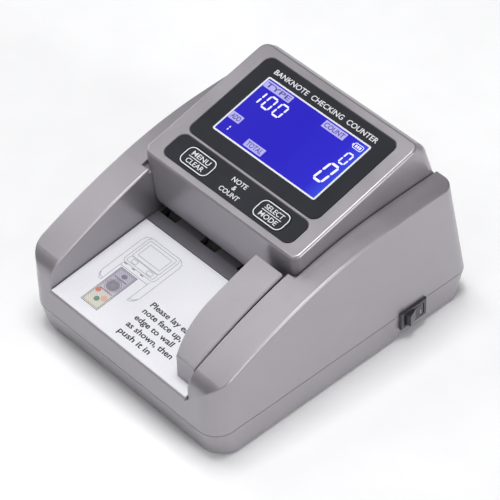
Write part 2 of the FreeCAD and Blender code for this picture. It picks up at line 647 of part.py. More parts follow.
# ---------------------------------------------------------------- power switch
BEZEL_Y = (SWITCH_Y - BEZEL_SIZE[0] / 2, SWITCH_Y + BEZEL_SIZE[0] / 2)
BEZEL_Z = (SWITCH_Z - BEZEL_SIZE[1] / 2, SWITCH_Z + BEZEL_SIZE[1] / 2)
bezel = box(HALF_WIDTH + 0.05, HALF_WIDTH + BEZEL_THICK, BEZEL_Y[0], BEZEL_Y[1], BEZEL_Z[0], BEZEL_Z[1])
bezel = bezel.makeChamfer(0.4, near_edges(bezel, lambda p: abs(p.x - HALF_WIDTH - BEZEL_THICK) < 0.01))
body_y = (SWITCH_Y - SWITCH_BODY[0] / 2, SWITCH_Y + SWITCH_BODY[0] / 2)
body_z = (SWITCH_Z - SWITCH_BODY[1] / 2, SWITCH_Z + SWITCH_BODY[1] / 2)
bezel = bezel.fuse(box(53.0, HALF_WIDTH + 0.5, body_y[0], body_y[1], body_z[0], body_z[1]))
ROCKER_HALF_Y = 5.6
ROCKER_HALF_Z = 3.2
ROCKER_SIDE_GAP = 0.2
ROCKER_END_GAP = 0.9
ROCKER_WELL_X = 60.0
ROCKER_AXIS_X = 64.9
TRUNNION_R = 0.8
TRUNNION_REACH = 0.7
bezel = bezel.cut(box(
    ROCKER_WELL_X, ROCKER_TOP_X + 1, SWITCH_Y - ROCKER_HALF_Y - ROCKER_END_GAP,
    SWITCH_Y + ROCKER_HALF_Y + ROCKER_END_GAP, SWITCH_Z - ROCKER_HALF_Z - ROCKER_SIDE_GAP,
    SWITCH_Z + ROCKER_HALF_Z + ROCKER_SIDE_GAP))
bezel = bezel.cut(rod_z(
    TRUNNION_R + RUNNING_FIT, SWITCH_Z - ROCKER_HALF_Z - TRUNNION_REACH - 0.1,
    SWITCH_Z + ROCKER_HALF_Z + TRUNNION_REACH + 0.1, ROCKER_AXIS_X, SWITCH_Y))
save("switch_bezel", bezel)

# the rocker's side view: (outward, along the housing) before its front end is tilted out
ROCKER_TILT = 10.0
rocker_ring = [
    (61.6, -2.2), (63.0, -ROCKER_HALF_Y), (67.9, -ROCKER_HALF_Y + 0.4), (66.6, 0.6), (67.2, ROCKER_HALF_Y),
    (63.0, ROCKER_HALF_Y), (61.6, 2.2),
]
ring = [V(x, SWITCH_Y + y, SWITCH_Z - ROCKER_HALF_Z) for x, y in rocker_ring]
rocker = Part.Face(Part.makePolygon(ring + [ring[0]])).extrude(V(0, 0, 2 * ROCKER_HALF_Z))
rocker.rotate(V(ROCKER_AXIS_X, SWITCH_Y, SWITCH_Z), V(0, 0, 1), ROCKER_TILT)
rocker.translate(V(ROCKER_TOP_X - rocker.BoundBox.XMax, 0, 0))
rocker = rocker.fuse(rod_z(
    TRUNNION_R, SWITCH_Z - ROCKER_HALF_Z - TRUNNION_REACH, SWITCH_Z + ROCKER_HALF_Z + TRUNNION_REACH,
    ROCKER_AXIS_X, SWITCH_Y))
save("switch_rocker", rocker)

# ---------------------------------------------------------------- display head shell
TILT = math.radians(HEAD_TILT)
HEAD_BACK_Y = HEAD_FRONT_Y + HEAD_SLOPE_LEN * math.cos(TILT)
HEAD_BACK_Z = HEAD_FRONT_Z + HEAD_SLOPE_LEN * math.sin(TILT)
CHIN_LEAN = 0.085
CHIN_R = 5.0
CHIN_CORNER_R = 9.0
SHOULDER_BACK_Z = 75.5
# the top bends over to the back along a rounded brow
BROW_Y = 65.4
BROW_Z = 93.5
BROW_R = 9.0
REAR_BOTTOM = 48.0


def chin_y(z):
    return HEAD_FRONT_Y + (HEAD_FRONT_Z - z) * CHIN_LEAN


def rear_y(z):
    return BACK_Y + (PARTING_Z - z) * BACK_LEAN


def head_block(half, inset, top_inset, ring_bottom):
    """Side view of the head: chin, sloped top and leaning back, closed by ring_bottom points."""
    lean_in = inset / math.cos(TILT)
    ring = [
        (chin_y(HEAD_FRONT_Z) + inset, head_top(chin_y(HEAD_FRONT_Z) + inset) - top_inset),
        (HEAD_BACK_Y - lean_in, HEAD_BACK_Z - top_inset - (lean_in * math.tan(TILT))),
        (BROW_Y - lean_in, BROW_Z - top_inset / 2),
        (rear_y(SHOULDER_BACK_Z) - lean_in, SHOULDER_BACK_Z),
    ]
    block = prism_x(ring + ring_bottom, half)
    brow_y, brow_z = ring[2]
    return block.makeFillet(BROW_R, near_edges(block, lambda p: abs(p.y - brow_y) + abs(p.z - brow_z) < 0.01))


WIDE_LOW = 60.0
wide = head_block(HEAD_HALF, 0.0, 0.0, [(rear_y(WIDE_LOW), WIDE_LOW), (chin_y(WIDE_LOW), WIDE_LOW)])
upright = near_edges(wide, lambda p: abs(abs(p.x) - HEAD_HALF) < 0.01 and (
    abs(p.y - chin_y(p.z)) < 0.01 or (p.y > 59.0 and p.z > WIDE_LOW - 1)))
upright = [e for e in upright if abs(e.Vertexes[0].Z - e.Vertexes[1].Z) > 10.0 and e.Length < 40.0]
wide = wide.makeFillet(4.5, upright)
wide = wide.cut(below_profile(-HEAD_SINK))
UNDER_BACK_Y = 61.8
narrow = head_block(HEAD_NARROW, 0.0, 0.0, [
    (rear_y(REAR_BOTTOM), REAR_BOTTOM), (66.5, REAR_BOTTOM), (62.2, HEAD_BOTTOM), (chin_y(HEAD_BOTTOM), HEAD_BOTTOM),
])
chin_edge = near_edges(narrow, lambda p: abs(p.z - HEAD_BOTTOM) < 0.01 and abs(p.y - chin_y(HEAD_BOTTOM)) < 0.01)
narrow = narrow.makeFillet(CHIN_R, chin_edge)
CHIN_BACK = -11.5
for side in (-1, 1):
    edge_x = side * (HEAD_NARROW - CHIN_CORNER_R)
    far_x = side * (HEAD_NARROW + 1)
    corner = box(min(edge_x, far_x), max(edge_x, far_x), -30.0, CHIN_BACK, 40.0, HEAD_BOTTOM + CHIN_CORNER_R)
    narrow = narrow.cut(corner.cut(rod_y(CHIN_CORNER_R, -31.0, CHIN_BACK + 1, edge_x, HEAD_BOTTOM + CHIN_CORNER_R)))
shell = join([wide, narrow])


def on_top_rim(p):
    return abs(p.z - head_top(p.y)) < 0.02


shell = shell.makeFillet(1.4, near_edges(shell, on_top_rim))
knuckles = []
for side in (-1, 1):
    x0 = min(side * (HEAD_NARROW - HEAD_WALL), side * HEAD_HALF)
    x1 = max(side * (HEAD_NARROW - HEAD_WALL), side * HEAD_HALF)
    knuckles.append(rod_x(KNUCKLE_R, x0, x1, HINGE_Y, HINGE_Z))

top_drop = TOP_WALL / math.cos(TILT)
ROOM_INSET = HEAD_WALL / math.cos(TILT)
wide_room = head_block(HEAD_HALF - HEAD_WALL, HEAD_WALL, top_drop, [
    (rear_y(WIDE_LOW) - ROOM_INSET, WIDE_LOW), (chin_y(WIDE_LOW) + HEAD_WALL, WIDE_LOW),
]).cut(below_profile(HEAD_WALL - HEAD_SINK))
narrow_room = head_block(HEAD_NARROW - HEAD_WALL, HEAD_WALL, top_drop, [
    (rear_y(REAR_BOTTOM + HEAD_WALL) - ROOM_INSET, REAR_BOTTOM + HEAD_WALL), (66.0, REAR_BOTTOM + HEAD_WALL),
    (UNDER_BACK_Y, REAR_BOTTOM), (UNDER_BACK_Y, 40.0), (-10.6, 40.0), (-11.4, 46.0), (-13.2, 53.0),
])
PLATE_POSTS = [(sx * 42.0, y) for sx in (-1, 1) for y in (7.0, 33.0)]
UNDER_THICK = 1.2
UNDER_TOP = HEAD_BOTTOM + UNDER_THICK
BOARD_TOP_N = -9.1
extras = [rod_z(3.2, UNDER_TOP + 0.05, 70.5, x, y) for x, y in PLATE_POSTS]
for x in (-40.7, 40.7):
    for v in (24.0, 71.5):
        extras.append(on_head(rod_z(2.0, BOARD_TOP_N + 0.05, -TOP_WALL + 0.3, x, v)))
shell = shell.cut([wide_room, narrow_room])
shell = join([shell] + knuckles + extras)

KEY_GAP = 0.3
key_centres = [(-KEY_X, KEY_V), (KEY_X, KEY_V)]


def key_plate(centre, grow, n0, n1):
    x, v = centre
    dx = KEY_SIZE[0] / 2 + grow
    dv = KEY_SIZE[1] / 2 + grow
    return rounded_plate(x - dx, x + dx, v - dv, v + dv, KEY_R + grow, n0, n1)


def panel(v_range, grow, r, n0, n1):
    half = PANEL_HALF + grow
    return rounded_plate(-half, half, v_range[0] - grow, v_range[1] + grow, r + grow, n0, n1)


PANEL_R = 4.0
screen_floor = rounded_plate(
    -SCREEN_HALF - 0.8, SCREEN_HALF + 0.8, SCREEN_V[0] - 0.8, SCREEN_V[1] + 0.8, 1.6, -6.0, 1.0)
cuts = [on_head(panel(DISPLAY_V, 0.2, PANEL_R, -RECESS, 4.0)), on_head(panel(KEYPAD_V, 0.2, PANEL_R, -RECESS, 4.0))]
cuts.append(on_head(screen_floor))
for centre in key_centres:
    cuts.append(on_head(key_plate(centre, KEY_GAP, -6.0, 1.0)))
for x, y in PLATE_POSTS:
    cuts.append(rod_z(1.2, 40.0, 56.0, x, y))
cuts.append(rod_x(PIN_R, -HEAD_HALF - 1, HEAD_HALF + 1, HINGE_Y, HINGE_Z))
shell = shell.cut(cuts)


def on_pocket_rim(p):
    if abs(p.z - head_top(p.y)) > 0.02 or abs(p.x) > PANEL_HALF + 0.6:
        return False
    v = (p.y - HEAD_FRONT_Y) / math.cos(TILT)
    return KEYPAD_V[0] - 0.6 < v < DISPLAY_V[1] + 0.6


shell = shell.makeChamfer(0.35, near_edges(shell, on_pocket_rim))
save("head_shell", shell)
pins = [rod_x(PIN_R, x0, x1, HINGE_Y, HINGE_Z) for x0, x1 in ((-57.5, -42.5), (42.5, 57.5))]
save("hinge_pins", group(pins))

# ---------------------------------------------------------------- head underside
UNDER_HALF = HEAD_NARROW - HEAD_WALL - 0.2
UNDER_FRONT_Y = -10.4
under = box(-UNDER_HALF, UNDER_HALF, UNDER_FRONT_Y, UNDER_BACK_Y - 0.2, HEAD_BOTTOM, UNDER_TOP)
cuts = [box(-WINDOW_HALF, WINDOW_HALF, SENSOR_Y[0] + 1.5, SENSOR_Y[1] - 1.5, 40.0, 50.0)]
SLOT_GROW = 0.6
for x in ROLLER_X:
    for side in (-1, 1):
        x0 = side * x - PINCH_HALF - SLOT_GROW
        x1 = side * x + PINCH_HALF + SLOT_GROW
        cuts.append(box(x0, x1, -20.0, FEED_Y + PINCH_R + SLOT_GROW, 40.0, 50.0))
        cuts.append(box(x0, x1, EXIT_Y - PINCH_R - SLOT_GROW, EXIT_Y + PINCH_R + SLOT_GROW, 40.0, 50.0))


def sunk_cone(grow, x, y):
    return Part.makeCone(2.3 + grow, 1.15 + grow, UNDER_THICK + 0.04, V(x, y, HEAD_BOTTOM + 0.02 - grow / 5))


for x, y in PLATE_POSTS:
    cuts.append(sunk_cone(0.1, x, y))
save("head_underside", under.cut(cuts))
heads = []
for x, y in PLATE_POSTS:
    screw = sunk_cone(0.0, x, y).fuse(rod_z(1.15, UNDER_TOP, 54.0, x, y))
    heads.append(screw.cut([
        box(x - 1.3, x + 1.3, y - 0.25, y + 0.25, HEAD_BOTTOM - 1, HEAD_BOTTOM + 0.6),
        box(x - 0.25, x + 0.25, y - 1.3, y + 1.3, HEAD_BOTTOM - 1, HEAD_BOTTOM + 0.6),
    ]))
save("head_screws", group(heads))
save("upper_sensor_bar", box(-41.0, 41.0, SENSOR_Y[0], SENSOR_Y[1], UNDER_TOP + 0.1, UNDER_TOP + 9.0))
save("upper_sensor_glass", box(
    -GLASS_HALF, GLASS_HALF, SENSOR_Y[0] + 1.7, SENSOR_Y[1] - 1.7, HEAD_BOTTOM + 0.1, UNDER_TOP + 0.05))
HANGER_X = (25.0, 27.0)
hangers = []
for y in (FEED_Y, EXIT_Y):
    for side in (-1, 1):
        x0 = min(side * HANGER_X[0], side * HANGER_X[1])
        hanger = box(x0, x0 + 2.0, y - 3.5, y + 3.5, UNDER_TOP + 0.02, PINCH_Z + 4.0)
        hangers.append(hanger.cut(rod_x(PINCH_AXLE_R + RUNNING_FIT, -REACH, REACH, y, PINCH_Z)))
save("pinch_hangers", group(hangers))
AXLE_END = ROLLER_X[1] + PINCH_HALF + 0.8
for name, y in (("front_pinch", FEED_Y), ("rear_pinch", EXIT_Y)):
    save(name + "_axle", rod_x(PINCH_AXLE_R, -AXLE_END, AXLE_END, y, PINCH_Z))
    save(name + "_rollers", roller_set(PINCH_R, PINCH_AXLE_R, PINCH_HALF, ROLLER_X, y, PINCH_Z))

# ---------------------------------------------------------------- panels, screen, keys
OVERLAY_TOP = -RECESS + OVERLAY_THICK
overlay = panel(DISPLAY_V, 0.0, PANEL_R, -RECESS, OVERLAY_TOP)
overlay = overlay.cut(rounded_plate(
    -SCREEN_HALF, SCREEN_HALF, SCREEN_V[0], SCREEN_V[1], 0.8, -RECESS - 1, OVERLAY_TOP + 1))
save("display_overlay", on_head(overlay))
keypad = panel(KEYPAD_V, 0.0, PANEL_R, -RECESS, OVERLAY_TOP)
keypad = keypad.cut([key_plate(centre, KEY_GAP, -RECESS - 1, OVERLAY_TOP + 1) for centre in key_centres])
save("keypad_overlay", on_head(keypad))
KEY_FLANGE_TOP = -TOP_WALL - 0.2
STEM_END = -4.6
for name, centre in zip(("key_left", "key_right"), key_centres):
    cap = key_plate(centre, 0.0, KEY_FLANGE_TOP, OVERLAY_TOP)
    flange = key_plate(centre, 0.9, KEY_FLANGE_TOP - 0.8, KEY_FLANGE_TOP)
    stem = rod_z(1.7, STEM_END, KEY_FLANGE_TOP - 0.8, centre[0], centre[1])
    save(name, on_head(join([cap, flange, stem])))
lcd = rounded_plate(
    -SCREEN_HALF + 0.2, SCREEN_HALF - 0.2, SCREEN_V[0] + 0.2, SCREEN_V[1] - 0.2, 0.6, -4.0, OVERLAY_TOP - 0.25)
lcd = lcd.fuse(box(-38.0, 38.0, 26.0, 70.0, BOARD_TOP_N + 0.1, -TOP_WALL - 0.2))
save("lcd_module", on_head(lcd))
display_board = box(-43.0, 43.0, 5.5, 74.0, BOARD_TOP_N - 1.6, BOARD_TOP_N)
save("display_board", on_head(display_board))
switches = []
for x, v in key_centres:
    body = box(x - 3.0, x + 3.0, v - 3.0, v + 3.0, BOARD_TOP_N, BOARD_TOP_N + 3.4)
    switches.append(body.fuse(rod_z(1.6, BOARD_TOP_N + 3.0, STEM_END - 0.6, x, v)))
save("key_switches", on_head(group(switches)))
buzzer = rod_z(5.5, BOARD_TOP_N - 8.0, BOARD_TOP_N - 1.65, 30.0, 40.0)
save("buzzer", on_head(buzzer.cut(rod_z(1.0, BOARD_TOP_N - 9.0, BOARD_TOP_N - 6.0, 30.0, 40.0))))
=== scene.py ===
"""The looks of a counter-top banknote checker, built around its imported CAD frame. Metres, +Z up."""

import math

import bmesh
import bpy
from mathutils import Matrix, Vector


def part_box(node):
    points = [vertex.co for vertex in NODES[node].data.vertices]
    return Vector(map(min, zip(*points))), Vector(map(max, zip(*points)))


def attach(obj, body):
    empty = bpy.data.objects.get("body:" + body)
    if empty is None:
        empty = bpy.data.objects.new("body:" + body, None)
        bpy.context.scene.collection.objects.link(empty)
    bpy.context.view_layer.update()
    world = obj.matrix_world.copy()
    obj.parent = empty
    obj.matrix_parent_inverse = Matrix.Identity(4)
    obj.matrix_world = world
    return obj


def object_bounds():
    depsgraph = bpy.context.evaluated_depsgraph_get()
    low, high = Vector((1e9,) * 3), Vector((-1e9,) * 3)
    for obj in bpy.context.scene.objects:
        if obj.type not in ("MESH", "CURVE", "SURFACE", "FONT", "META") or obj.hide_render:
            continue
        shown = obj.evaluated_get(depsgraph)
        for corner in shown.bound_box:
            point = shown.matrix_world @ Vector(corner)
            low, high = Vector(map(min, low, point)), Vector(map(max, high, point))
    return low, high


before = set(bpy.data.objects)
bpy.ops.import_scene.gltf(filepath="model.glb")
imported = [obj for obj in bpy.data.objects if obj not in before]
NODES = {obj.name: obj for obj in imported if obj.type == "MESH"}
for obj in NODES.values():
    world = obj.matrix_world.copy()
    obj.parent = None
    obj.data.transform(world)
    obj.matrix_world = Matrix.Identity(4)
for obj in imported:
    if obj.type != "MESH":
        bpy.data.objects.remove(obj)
CAD_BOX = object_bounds()
SCENE = bpy.context.scene
MM = 0.001


# ---------------------------------------------------------------- materials
def srgb(r, g, b):
    """An 8-bit display colour as a linear one."""
    def channel(c):
        c /= 255.0
        return c / 12.92 if c <= 0.04045 else ((c + 0.055) / 1.055) ** 2.4
    return (channel(r), channel(g), channel(b), 1.0)


def scaled(colour, factor):
    """A colour made lighter or darker by a factor."""
    return tuple(min(1.0, c * factor) for c in colour[:3]) + (1.0,)


# The colour sockets of a Mix node, which share their names with its other types.
MIX_FIRST, MIX_SECOND, MIX_RESULT = 6, 7, 2
WHITE = (1.0, 1.0, 1.0, 1.0)


class Finish:
    """A procedural material on a Principled shader, in object coordinates."""

    def __init__(self, name, **sockets):
        self.material = bpy.data.materials.new(name)
        self.material.use_nodes = True
        self.tree = self.material.node_tree
        self.shader = self.tree.nodes["Principled BSDF"]
        self.place = self.node("ShaderNodeTexCoord").outputs["Object"]
        for socket, value in sockets.items():
            self.shader.inputs[socket.replace("_", " ")].default_value = value

    def node(self, kind, **settings):
        """A new node of a kind, with its settings."""
        made = self.tree.nodes.new(kind)
        for key, value in settings.items():
            setattr(made, key, value)
        return made

    def link(self, output, socket):
        self.tree.links.new(output, socket)

    def stretched(self, stretch):
        """Object coordinates scaled per axis, for brushed or ribbed patterns."""
        mapping = self.node("ShaderNodeMapping")
        mapping.inputs["Scale"].default_value = stretch
        self.link(self.place, mapping.inputs["Vector"])
        return mapping.outputs["Vector"]

    def noise(self, size, detail, place=None):
        """Noise whose features are about size millimetres across."""
        made = self.node("ShaderNodeTexNoise")
        made.inputs["Scale"].default_value = 1.0 / (size * MM)
        made.inputs["Detail"].default_value = detail
        self.link(place or self.place, made.inputs["Vector"])
        return made.outputs["Fac"]

    def waves(self, pitch, direction, distortion=0.0):
        """Bands with one cycle every pitch millimetres."""
        made = self.node("ShaderNodeTexWave", bands_direction=direction)
        made.inputs["Scale"].default_value = math.pi / (10.0 * pitch * MM)
        made.inputs["Distortion"].default_value = distortion
        self.link(self.place, made.inputs["Vector"])
        return made.outputs["Fac"]

    def ramp(self, fac, *stops):
        """A colour ramp through (position, colour) stops."""
        made = self.node("ShaderNodeValToRGB")
        for k, (position, colour) in enumerate(stops):
            stop = made.color_ramp.elements[k] if k < 2 else made.color_ramp.elements.new(position)
            stop.position = position
            stop.color = colour
        self.link(fac, made.inputs["Fac"])
        return made.outputs["Color"]

    def spread(self, fac, low, high, start=0.0, end=1.0):
        """A value from start to end, mapped to low to high."""
        made = self.node("ShaderNodeMapRange")
        ends = {"From Min": start, "From Max": end, "To Min": low, "To Max": high}
        for socket, value in ends.items():
            made.inputs[socket].default_value = value
        self.link(fac, made.inputs["Value"])
        return made.outputs["Result"]

    def mix(self, fac, first, second, blend="MIX"):
        """Two colours mixed; fac is a number or an output."""
        made = self.node("ShaderNodeMix", data_type="RGBA", blend_type=blend)
        if isinstance(fac, float):
            made.inputs["Factor"].default_value = fac
        else:
            self.link(fac, made.inputs["Factor"])
        for socket, value in ((made.inputs[MIX_FIRST], first), (made.inputs[MIX_SECOND], second)):
            if isinstance(value, tuple):
                socket.default_value = value
            else:
                self.link(value, socket)
        return made.outputs[MIX_RESULT]

    def colour(self, output):
        self.link(output, self.shader.inputs["Base Color"])
        return self

    def roughness(self, output):
        self.link(output, self.shader.inputs["Roughness"])
        return self

    def bump(self, height, depth):
        """Relief depth millimetres deep."""
        made = self.node("ShaderNodeBump")
        made.inputs["Distance"].default_value = depth * MM
        self.link(height, made.inputs["Height"])
        self.link(made.outputs["Normal"], self.shader.inputs["Normal"])
        return self


def moulded(name, base, rough, fleck=0.25, contrast=0.06, cloud=18.0, drift=0.04, depth=0.012, **sockets):
    """Moulded or sprayed plastic: fine fleck, a slow drift of tone and gloss, and a fine texture."""
    made = Finish(name, **sockets)
    grain = made.noise(fleck, 3.0)
    slow = made.noise(cloud, 2.0)
    tone = made.ramp(grain, (0.3, scaled(base, 1.0 - contrast)), (0.7, scaled(base, 1.0 + contrast)))
    shade = made.ramp(slow, (0.3, scaled(WHITE, 1.0 - 2 * drift)), (0.7, WHITE))
    made.colour(made.mix(1.0, tone, shade, "MULTIPLY"))
    made.roughness(made.spread(slow, rough - 0.05, rough + 0.05, 0.3, 0.7))
    made.bump(made.noise(fleck * 1.6, 2.0), depth)
    return made.material


def metal(name, base, rough, grain, contrast=0.12):
    """Turned, drawn or brushed metal, with its grain stretched along one axis."""
    made = Finish(name, Metallic=1.0)
    lines = made.noise(2.0, 3.0, made.stretched(grain))
    made.colour(made.ramp(lines, (0.3, scaled(base, 1.0 - contrast)), (0.7, scaled(base, 1.0 + contrast))))
    made.roughness(made.spread(lines, rough - 0.06, rough + 0.08, 0.3, 0.7))
    made.bump(lines, 0.004)
    return made.material


def ribbed_rubber(name, base, rough, pitch, depth, direction="X"):
    """Rubber with fine ribs and a dusty bloom."""
    made = Finish(name)
    bloom = made.noise(3.0, 4.0)
    made.colour(made.ramp(bloom, (0.3, scaled(base, 0.8)), (0.75, scaled(base, 1.35))))
    made.roughness(made.spread(bloom, rough, rough + 0.12, 0.3, 0.7))
    made.bump(made.waves(pitch, direction), depth)
    return made.material


def printed_film(name, base, rough, **sockets):
    """Back-printed polycarbonate film with a hair-fine satin grain."""
    made = Finish(name, **sockets)
    grain = made.noise(0.18, 3.0)
    haze = made.noise(24.0, 2.0)
    made.colour(made.ramp(haze, (0.3, scaled(base, 0.86)), (0.7, scaled(base, 1.2))))
    made.roughness(made.spread(grain, rough - 0.04, rough + 0.06, 0.3, 0.7))
    made.bump(grain, 0.004)
    return made.material


def ink(name, base, rough=0.45, glow=0.0):
    """Screen-printed ink with slightly uneven cover."""
    made = Finish(name, Emission_Strength=glow)
    cover = made.noise(0.35, 3.0)
    tone = made.ramp(cover, (0.2, scaled(base, 0.9)), (0.6, base))
    made.colour(tone)
    if glow:
        made.link(tone, made.shader.inputs["Emission Color"])
    made.roughness(made.spread(cover, rough, rough + 0.1, 0.3, 0.7))
    return made.material


PIXEL_PITCH = 0.34


def backlit_screen(name, low_x, high_x):
    """A lit blue display: brighter towards its lamp at the right, over a fine pixel grid."""
    made = Finish(name, Roughness=0.15, Specular_IOR_Level=0.35, Emission_Strength=0.48)
    axes = made.node("ShaderNodeSeparateXYZ")
    made.link(made.place, axes.inputs["Vector"])
    across = made.spread(axes.outputs["X"], 0.0, 1.0, low_x, high_x)
    deep = srgb(34, 22, 196)
    lit = made.ramp(across, (0.0, srgb(40, 30, 196)), (0.45, deep), (0.86, srgb(40, 32, 206)),
                    (0.97, srgb(52, 70, 224)), (1.0, srgb(66, 116, 234)))
    columns, rows = (made.ramp(made.waves(PIXEL_PITCH, axis), (0.0, (0.9, 0.9, 0.9, 1.0)), (0.3, WHITE))
                     for axis in "XY")
    grid = made.mix(0.5, columns, rows)
    tone = made.mix(1.0, lit, grid, "MULTIPLY")
    made.colour(made.mix(0.55, tone, (0.0, 0.0, 0.02, 1.0)))
    made.link(tone, made.shader.inputs["Emission Color"])
    return made.material


def circuit_board(name):
    """Green solder mask over copper tracks."""
    made = Finish(name, Coat_Weight=0.3, Coat_Roughness=0.2)
    tracks = made.node("ShaderNodeTexBrick", offset=0.37)
    made.link(made.place, tracks.inputs["Vector"])
    for socket, value in (("Scale", 140.0), ("Mortar Size", 0.06), ("Color1", srgb(18, 84, 52)),
                          ("Color2", srgb(22, 96, 58)), ("Mortar", srgb(58, 140, 84))):
        tracks.inputs[socket].default_value = value
    mottle = made.noise(1.2, 3.0)
    made.colour(made.mix(0.35, tracks.outputs["Color"],
                         made.ramp(mottle, (0.3, srgb(12, 66, 40)), (0.7, srgb(26, 104, 64)))))
    made.roughness(made.spread(mottle, 0.28, 0.42))
    made.bump(tracks.outputs["Fac"], 0.03)
    return made.material


def shrink_wrap(name):
    """Blue heat-shrink over a pack of cells, with its creases."""
    made = Finish(name, Coat_Weight=0.5, Coat_Roughness=0.15)
    crease = made.noise(2.2, 4.0, made.stretched((0.3, 1.0, 1.0)))
    made.colour(made.ramp(crease, (0.3, srgb(28, 62, 128)), (0.7, srgb(44, 92, 168))))
    made.roughness(made.spread(crease, 0.2, 0.4))
    made.bump(crease, 0.12)
    return made.material


def sensor_glass(name):
    """Dark tinted window glass with faint wiping marks."""
    made = Finish(name, IOR=1.5, Transmission_Weight=0.35, Coat_Weight=0.6, Coat_Roughness=0.05)
    wipe = made.noise(1.4, 3.0, made.stretched((0.15, 1.0, 1.0)))
    made.colour(made.ramp(wipe, (0.3, srgb(22, 18, 34)), (0.7, srgb(36, 30, 52))))
    made.roughness(made.spread(wipe, 0.06, 0.18))
    return made.material


def label_film(name):
    """White satin label film."""
    made = Finish(name, Coat_Weight=0.25, Coat_Roughness=0.3)
    fibre = made.noise(0.5, 4.0)
    slow = made.noise(30.0, 1.0)
    paper = made.ramp(fibre, (0.3, srgb(232, 232, 238)), (0.7, srgb(240, 240, 245)))
    shade = made.ramp(slow, (0.3, (0.95, 0.95, 0.96, 1.0)), (0.7, WHITE))
    made.colour(made.mix(1.0, paper, shade, "MULTIPLY"))
    made.roughness(made.spread(fibre, 0.3, 0.42))
    made.bump(fibre, 0.006)
    return made.material


HOUSING = srgb(160, 156, 162)
PAINT = {"Metallic": 0.55, "Coat_Weight": 0.3, "Coat_Roughness": 0.14}
FINISHES = {
    "housing_grey": moulded("housing_paint", HOUSING, 0.36, 0.2, 0.07, 22.0, 0.03, 0.008, **PAINT),
    "tray_grey": moulded("tray_paint", scaled(HOUSING, 0.97), 0.36, 0.2, 0.07, 22.0, 0.03, 0.008, **PAINT),
    "label_print": label_film("label_film"),
    "feed_grey": moulded("feed_plastic", srgb(112, 110, 117), 0.46, 0.5, 0.06, 20.0, 0.04, 0.02),
    "foot_rubber": ribbed_rubber("foot_rubber", srgb(38, 38, 40), 0.75, 1.1, 0.08),
    "screw_steel": metal("screw_steel", srgb(168, 170, 174), 0.32, (6.0, 6.0, 1.0)),
    "battery_wrap": shrink_wrap("battery_wrap"),
    "board_green": circuit_board("board_mask"),
    "chip_black": moulded("chip_epoxy", srgb(30, 30, 32), 0.5, 0.12, 0.1, 6.0, 0.05, 0.01),
    "black_plastic": moulded("black_plastic", srgb(32, 32, 34), 0.42, 0.3, 0.08, 14.0, 0.05, 0.012),
    "frame_steel": metal("frame_steel", srgb(150, 152, 156), 0.38, (1.0, 12.0, 12.0)),
    "brass_bush": metal("bush_brass", srgb(190, 154, 88), 0.3, (8.0, 8.0, 1.0)),
    "motor_steel": metal("motor_can", srgb(140, 142, 146), 0.36, (1.0, 9.0, 9.0)),
    "belt_rubber": ribbed_rubber("belt_rubber", srgb(30, 30, 31), 0.7, 0.9, 0.1, "Y"),
    "window_glass": sensor_glass("sensor_glass"),
    "switch_black": moulded("switch_plastic", srgb(58, 56, 62), 0.3, 0.4, 0.08, 8.0, 0.04, 0.01,
                            Coat_Weight=0.3, Coat_Roughness=0.2),
    "shaft_steel": metal("shaft_steel", srgb(186, 188, 192), 0.22, (1.0, 30.0, 30.0), 0.06),
    "roller_rubber": ribbed_rubber("roller_rubber", srgb(58, 58, 60), 0.68, 0.8, 0.06),
    "pulley_white": moulded("pulley_nylon", srgb(214, 210, 200), 0.45, 0.4, 0.03, 9.0, 0.03, 0.01),
    "panel_black": printed_film("panel_film", srgb(37, 39, 45), 0.17, Specular_IOR_Level=0.35),
}


# ---------------------------------------------------------------- planes and prints
class Plane:
    """The plane of a node's sloping upper face, with its origin at a chosen distance up the slope."""

    def __init__(self, node, slope, front, depth=0.0):
        angle = math.radians(slope)
        self.along = Vector((0.0, math.cos(angle), math.sin(angle)))
        self.up = Vector((0.0, -math.sin(angle), math.cos(angle)))
        self.across = Vector((1.0, 0.0, 0.0))
        points = [v.co for v in NODES[node].data.vertices]
        middle = (min(p.x for p in points) + max(p.x for p in points)) / 2
        start = min(p.dot(self.along) for p in points) - front * MM
        height = max(p.dot(self.up) for p in points) - depth * MM
        self.origin = self.across * middle + self.along * start + self.up * height

    def at(self, x, v, n=0.0):
        """The point x across, v up the slope and n above the face, all in millimetres."""
        return self.origin + (self.across * x + self.along * v + self.up * n) * MM


